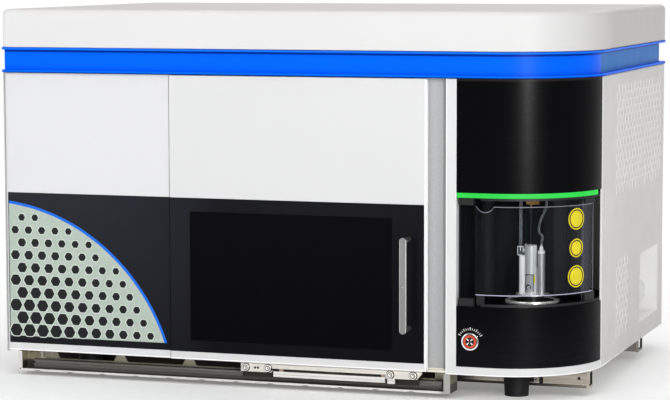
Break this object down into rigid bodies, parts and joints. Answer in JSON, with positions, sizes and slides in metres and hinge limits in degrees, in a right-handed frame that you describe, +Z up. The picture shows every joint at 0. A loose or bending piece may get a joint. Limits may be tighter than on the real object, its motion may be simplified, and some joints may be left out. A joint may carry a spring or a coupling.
{
  "type": "benchtop cell-sorting flow cytometer",
  "caption": "Wide white benchtop cell sorter with blue trim band, dark sliding front door, round black sample column with clear rotating shield, and hinged top cover.",
  "frame": {"origin": "bottom centre of the whole instrument's bounding box, on the bench plane under the feet", "axes": "+X to the right across the front, +Y from the front to the rear, +Z up"},
  "size_m": [1.1, 0.757, 0.6794],
  "materials": {
    "white_panel": "fine satin powder coat, white",
    "side_panel": "fine satin powder coat, warm white",
    "cover_white": "smooth moulded white, soft gloss",
    "blue_trim": "satin painted extrusion, blue",
    "black_cover": "satin black moulding",
    "black_glass": "back-printed dark glass, glossy",
    "brushed_aluminium": "brushed along its length",
    "tray_aluminium": "satin extrusion",
    "satin_steel": "satin",
    "rail_steel": "zinc-nickel plated, warm grey",
    "polished_steel": "polished",
    "rubber": "matte black rubber",
    "dark_liner": "dark grey moulding, low sheen",
    "black_plastic": "matte black",
    "clear_plastic": "clear acrylic, polished edges",
    "green_light": "lit light guide",
    "brass": "machined brass",
    "red_button": "red ring, dark centre",
    "white_plastic": "white moulding",
    "grey_plastic": "dark grey housing",
    "pcb_green": "solder-masked board",
    "anodised_black": "black anodised, fine blasted",
    "anodised_blue": "blue-grey anodised",
    "screen_white": "woven dust screen"
  },
  "bodies": {
    "chassis": {"base_pan": "satin_steel", "rubber_feet": "rubber", "foot_studs": "satin_steel", "front_cross_rail": "rail_steel", "rear_cross_rail": "rail_steel", "rail_end_caps": "rail_steel", "chassis_posts": "satin_steel", "left_front_panel": "white_panel", "left_glass": "black_glass", "left_side_panel": "side_panel", "right_side_panel": "side_panel", "vent_screens": "screen_white", "recess_liner": "white_plastic", "recess_couplings": "white_plastic", "rear_panel": "side_panel", "trim_band": "blue_trim", "divider_strip": "brushed_aluminium", "column_frame": "white_panel", "column_upper_cover": "black_cover", "light_strip": "green_light", "column_lower_cover": "black_cover", "bay_liner": "dark_liner", "shield_guides": "black_plastic", "station_ring": "polished_steel", "tube_holder": "satin_steel", "wash_cylinder": "polished_steel", "bay_tubing": "clear_plastic", "stop_button_bezel": "polished_steel", "door_tray": "tray_aluminium", "door_rail": "satin_steel", "sort_chamber": "satin_steel", "nozzle_block": "polished_steel", "deflection_plates": "polished_steel", "stream_camera": "anodised_black", "optical_bench": "anodised_black", "laser_modules": "anodised_blue", "detector_arrays": "anodised_black", "flow_cell_objective": "satin_steel", "power_supply": "satin_steel", "control_board": "pcb_green", "fan_frames": "black_plastic", "sheath_pump": "grey_plastic", "power_inlet": "black_plastic", "lid_hinges": "satin_steel", "probe_guide_rail": "polished_steel"},
    "top_cover": {"top_cover": "cover_white"},
    "door": {"door_panel": "white_panel", "door_glass": "black_glass", "door_handle": "brushed_aluminium", "door_brackets": "rail_steel", "bracket_screws": "polished_steel", "door_slide_strip": "tray_aluminium"},
    "shield": {"sample_shield": "clear_plastic", "shield_shoes": "black_plastic"},
    "probe": {"sample_probe": "brass"},
    "stop_button": {"stop_button": "red_button"},
    "fan_left": {"fan_rotor_left": "black_plastic"},
    "fan_right": {"fan_rotor_right": "black_plastic"},
    "power_switch": {"power_switch": "black_plastic"},
    "collection_stage": {"collection_stage": "anodised_blue"}
  },
  "joints": [
    {"name": "cover_hinge", "type": "hinge", "parent": "chassis", "child": "top_cover", "pos_m": [0, 0.3735, 0.6209], "axis": [-1, 0, 0], "range_deg": [0, 60]},
    {"name": "door_slide", "type": "slide", "parent": "chassis", "child": "door", "axis": [-1, 0, 0], "range_m": [0, 0.255]},
    {"name": "shield_turn", "type": "hinge", "parent": "chassis", "child": "shield", "pos_m": [0.382, -0.1755, 0.2635], "axis": [0, 0, 1], "range_deg": [0, 75]},
    {"name": "probe_lower", "type": "slide", "parent": "chassis", "child": "probe", "axis": [0, 0, -1], "range_m": [-0.075, 0.065]},
    {"name": "stop_press", "type": "slide", "parent": "chassis", "child": "stop_button", "axis": [0, 1, 0], "range_m": [0, 0.003], "stiffness_N_per_m": 600},
    {"name": "fan_left_spin", "type": "hinge", "parent": "chassis", "child": "fan_left", "pos_m": [-0.247, 0.3575, 0.4465], "axis": [0, 1, 0], "continuous": true},
    {"name": "fan_right_spin", "type": "hinge", "parent": "chassis", "child": "fan_right", "pos_m": [-0.097, 0.3575, 0.4465], "axis": [0, 1, 0], "continuous": true},
    {"name": "power_rock", "type": "hinge", "parent": "chassis", "child": "power_switch", "pos_m": [-0.315, 0.3655, 0.1165], "axis": [1, 0, 0], "range_deg": [0, 16]},
    {"name": "stage_slide", "type": "slide", "parent": "chassis", "child": "collection_stage", "axis": [1, 0, 0], "range_m": [-0.03, 0.03]}
  ]
}
